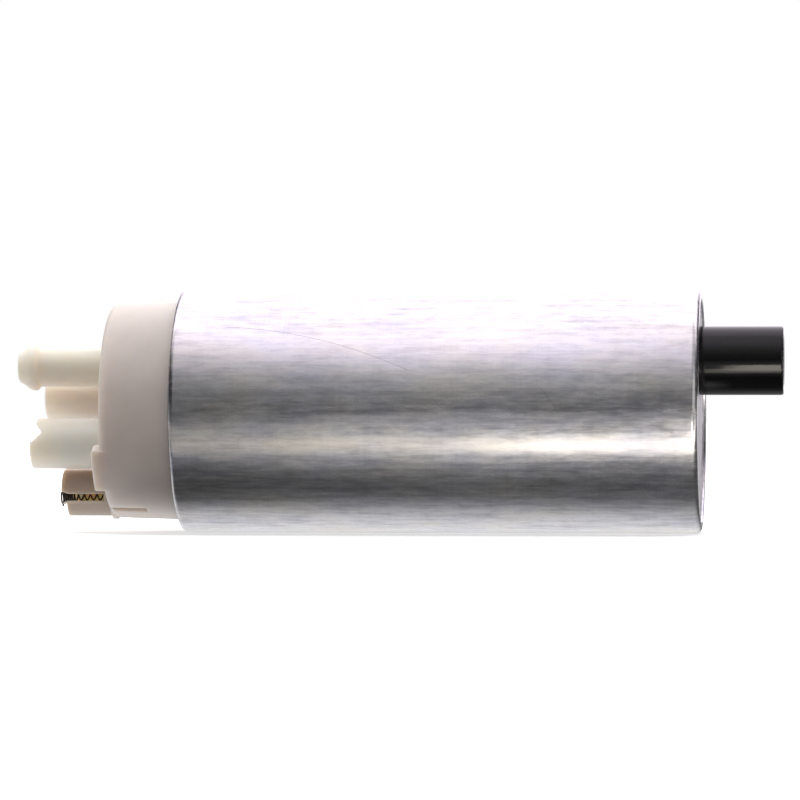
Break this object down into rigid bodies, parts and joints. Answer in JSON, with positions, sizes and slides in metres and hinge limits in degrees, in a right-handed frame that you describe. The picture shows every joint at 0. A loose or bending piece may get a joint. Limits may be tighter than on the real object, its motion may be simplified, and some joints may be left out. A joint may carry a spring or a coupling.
{
  "type": "electric fuel pump",
  "caption": "In-tank electric fuel pump: rolled aluminium barrel, moulded end cap with hose nipple, plug sockets and relief valve, black inlet sleeve off the axis.",
  "frame": {"origin": "on the axis of the barrel, at the middle of its length", "axes": "+X along the pump towards the inlet sleeve, +Z towards the side of the outlet nipple and the inlet sleeve, -Y towards the slot of the relief valve"},
  "size_m": [0.134, 0.043, 0.043],
  "materials": {
    "barrel_aluminium": "satin drawn tube, handled",
    "natural_plastic": "cream-white natural moulding",
    "seal_rubber": "black fuel-proof rubber",
    "tinned_brass": "tinned blade",
    "seat_brass": "turned brass",
    "valve_plastic": "moulded valve head",
    "dark_spring_steel": "oil-dark spring wire",
    "spring_steel": "spring wire and strip",
    "holder_plastic": "glass-filled moulding",
    "bearing_bronze": "sintered bronze",
    "plain_steel": "plain steel",
    "magnet_ferrite": "hard ferrite",
    "ground_steel": "ground steel",
    "enamelled_copper": "enamelled copper wire",
    "commutator_resin": "moulding resin",
    "commutator_copper": "bare copper",
    "sintered_steel": "sintered steel",
    "cast_cover_metal": "pale die casting",
    "black_plastic": "glossy black moulding",
    "brush_carbon": "carbon brush"
  },
  "bodies": {
    "housing": {"barrel": "barrel_aluminium", "outlet_cover": "natural_plastic", "outlet_cover_seal": "seal_rubber", "large_contact_blade": "tinned_brass", "small_contact_blade": "tinned_brass", "relief_valve_seat": "seat_brass", "relief_valve_spring": "dark_spring_steel", "check_valve_seat": "seal_rubber", "check_valve_spring": "spring_steel", "brush_holder": "holder_plastic", "rear_bearing": "bearing_bronze", "flux_ring": "plain_steel", "upper_magnet": "magnet_ferrite", "lower_magnet": "magnet_ferrite", "magnet_clips": "spring_steel", "pump_ring": "sintered_steel", "dowel_pins": "ground_steel", "discharge_plate": "cast_cover_metal", "middle_bearing": "bearing_bronze", "front_bearing": "bearing_bronze", "inlet_cover": "cast_cover_metal", "inlet_sleeve": "black_plastic", "near_brush_spring": "spring_steel", "near_brush_lead": "commutator_copper", "near_choke_core": "magnet_ferrite", "near_choke_winding": "enamelled_copper", "far_brush_spring": "spring_steel", "far_brush_lead": "commutator_copper", "far_choke_core": "magnet_ferrite", "far_choke_winding": "enamelled_copper"},
    "armature": {"shaft": "ground_steel", "armature_core": "plain_steel", "rear_collar": "holder_plastic", "front_collar": "holder_plastic", "armature_winding": "enamelled_copper", "commutator_hub": "commutator_resin", "commutator_bars": "commutator_copper", "thrust_washers": "spring_steel", "inner_rotor": "sintered_steel"},
    "outer_rotor": {"outer_rotor": "sintered_steel"},
    "check_valve": {"check_valve_poppet": "valve_plastic"},
    "relief_valve": {"relief_valve_poppet": "valve_plastic"},
    "near_brush": {"near_brush": "brush_carbon"},
    "far_brush": {"far_brush": "brush_carbon"}
  },
  "joints": [
    {"name": "armature_spin", "type": "hinge", "parent": "housing", "child": "armature", "pos_m": [0, 0, 0], "axis": [1, 0, 0], "continuous": true},
    {"name": "outer_rotor_spin", "type": "hinge", "parent": "housing", "child": "outer_rotor", "pos_m": [0.03285, 0.0015, 0], "axis": [1, 0, 0], "continuous": true},
    {"name": "check_valve_slide", "type": "slide", "parent": "housing", "child": "check_valve", "axis": [-1, 0, 0], "range_m": [0, 0.0016], "stiffness_N_per_m": 120, "springref_m": -0.002, "deforming": ["check_valve_spring"]},
    {"name": "relief_valve_slide", "type": "slide", "parent": "housing", "child": "relief_valve", "axis": [-1, 0, 0], "range_m": [0, 0.001], "stiffness_N_per_m": 500, "springref_m": -0.002, "deforming": ["relief_valve_spring"]},
    {"name": "near_brush_slide", "type": "slide", "parent": "housing", "child": "near_brush", "axis": [-1, 0, 0], "range_m": [0, 0.002], "stiffness_N_per_m": 100, "springref_m": -0.006, "deforming": ["near_brush_spring", "near_brush_lead"]},
    {"name": "far_brush_slide", "type": "slide", "parent": "housing", "child": "far_brush", "axis": [-1, 0, 0], "range_m": [0, 0.002], "stiffness_N_per_m": 100, "springref_m": -0.006, "deforming": ["far_brush_spring", "far_brush_lead"]}
  ],
  "couplings": [
    {"joint": "outer_rotor_spin", "follows": "armature_spin", "ratio": 0.85714}
  ]
}
